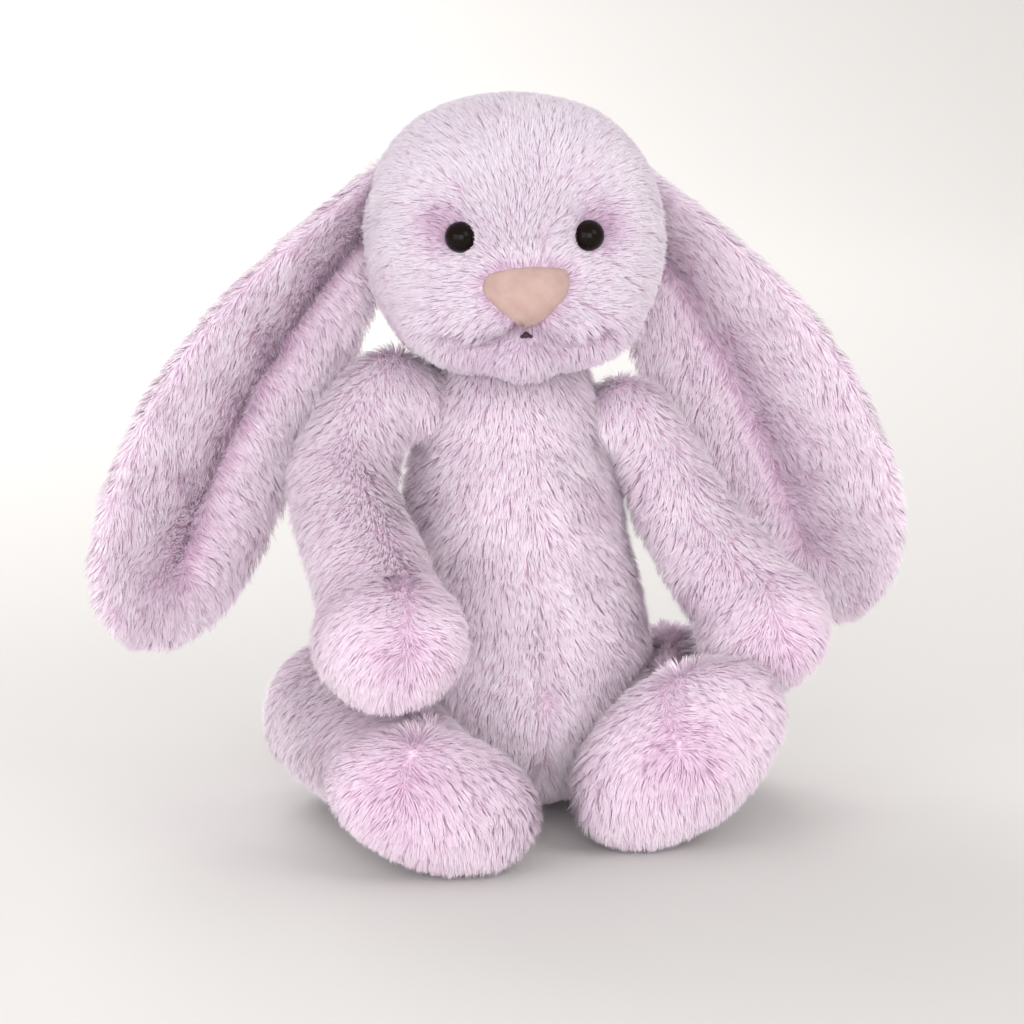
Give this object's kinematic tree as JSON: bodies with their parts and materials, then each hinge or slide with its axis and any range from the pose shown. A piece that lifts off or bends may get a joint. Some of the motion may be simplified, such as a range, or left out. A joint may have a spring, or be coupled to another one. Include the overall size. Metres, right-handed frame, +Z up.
{
  "type": "stuffed bunny rabbit",
  "caption": "Sitting plush rabbit with long hanging ears, sewn limbs on soft joints, glossy eyes and a felt nose.",
  "frame": {"origin": "middle of the flat seat panel, on the surface that the rabbit sits on", "axes": "+Z up, the rabbit looks along -Y, its own left side is +X"},
  "size_m": [0.2362, 0.149, 0.197],
  "materials": {
    "plush": "matte",
    "stuffing": "matte",
    "eye": "gloss",
    "washer": "satin",
    "nose": "matte",
    "pouch": "matte",
    "beans": "satin",
    "thread": "satin",
    "mouth": "satin"
  },
  "bodies": {
    "torso": {"seat_panel": "plush", "body_front_left": "plush", "body_front_right": "plush", "body_back_left": "plush", "body_back_right": "plush", "body_stuffing": "stuffing", "bean_pouch": "pouch", "seat_beans": "beans", "tail_cover": "plush", "tail_stuffing": "stuffing", "back_closing_stitches": "thread"},
    "neck": {"neck_stitching": "thread"},
    "head": {"face_left": "plush", "face_right": "plush", "head_back": "plush", "head_stuffing": "stuffing", "left_eye": "eye", "right_eye": "eye", "left_eye_washer": "washer", "right_eye_washer": "washer", "nose_patch": "nose", "mouth_stitch": "mouth"},
    "left_ear": {"left_ear_back": "plush", "left_ear_wadding": "stuffing", "left_ear_lining": "plush"},
    "left_arm": {"left_arm_front_panel": "plush", "left_arm_back_panel": "plush", "left_arm_stuffing": "stuffing"},
    "left_leg": {"left_leg_top_panel": "plush", "left_leg_under_panel": "plush", "left_sole": "plush", "left_leg_stuffing": "stuffing"},
    "right_ear": {"right_ear_back": "plush", "right_ear_wadding": "stuffing", "right_ear_lining": "plush"},
    "right_arm": {"right_arm_front_panel": "plush", "right_arm_back_panel": "plush", "right_arm_stuffing": "stuffing"},
    "right_leg": {"right_leg_top_panel": "plush", "right_leg_under_panel": "plush", "right_sole": "plush", "right_leg_stuffing": "stuffing"}
  },
  "joints": [
    {"name": "neck_turn", "type": "hinge", "parent": "torso", "child": "neck", "pos_m": [0, 0.008, 0.114], "axis": [0, 0, 1], "range_deg": [-10, 10]},
    {"name": "head_nod", "type": "hinge", "parent": "neck", "child": "head", "pos_m": [0, 0.008, 0.12], "axis": [1, 0, 0], "range_deg": [-8, 8]},
    {"name": "left_ear_lift", "type": "hinge", "parent": "head", "child": "left_ear", "pos_m": [0.03, 0.0275, 0.173], "axis": [0, -1, 0], "range_deg": [0, 30]},
    {"name": "right_ear_lift", "type": "hinge", "parent": "head", "child": "right_ear", "pos_m": [-0.03, 0.0275, 0.173], "axis": [0, 1, 0], "range_deg": [0, 30]},
    {"name": "left_shoulder_swing", "type": "hinge", "parent": "torso", "child": "left_arm", "pos_m": [0.037, 0, 0.107], "axis": [-1, 0, 0], "range_deg": [0, 70]},
    {"name": "right_shoulder_swing", "type": "hinge", "parent": "torso", "child": "right_arm", "pos_m": [-0.038, 0.002, 0.115], "axis": [-1, 0, 0], "range_deg": [0, 70]},
    {"name": "left_hip_swing", "type": "hinge", "parent": "torso", "child": "left_leg", "pos_m": [0.0485, 0, 0.033], "axis": [1, 0, 0], "range_deg": [0, 70]},
    {"name": "right_hip_swing", "type": "hinge", "parent": "torso", "child": "right_leg", "pos_m": [-0.0485, 0, 0.033], "axis": [1, 0, 0], "range_deg": [0, 70]}
  ]
}
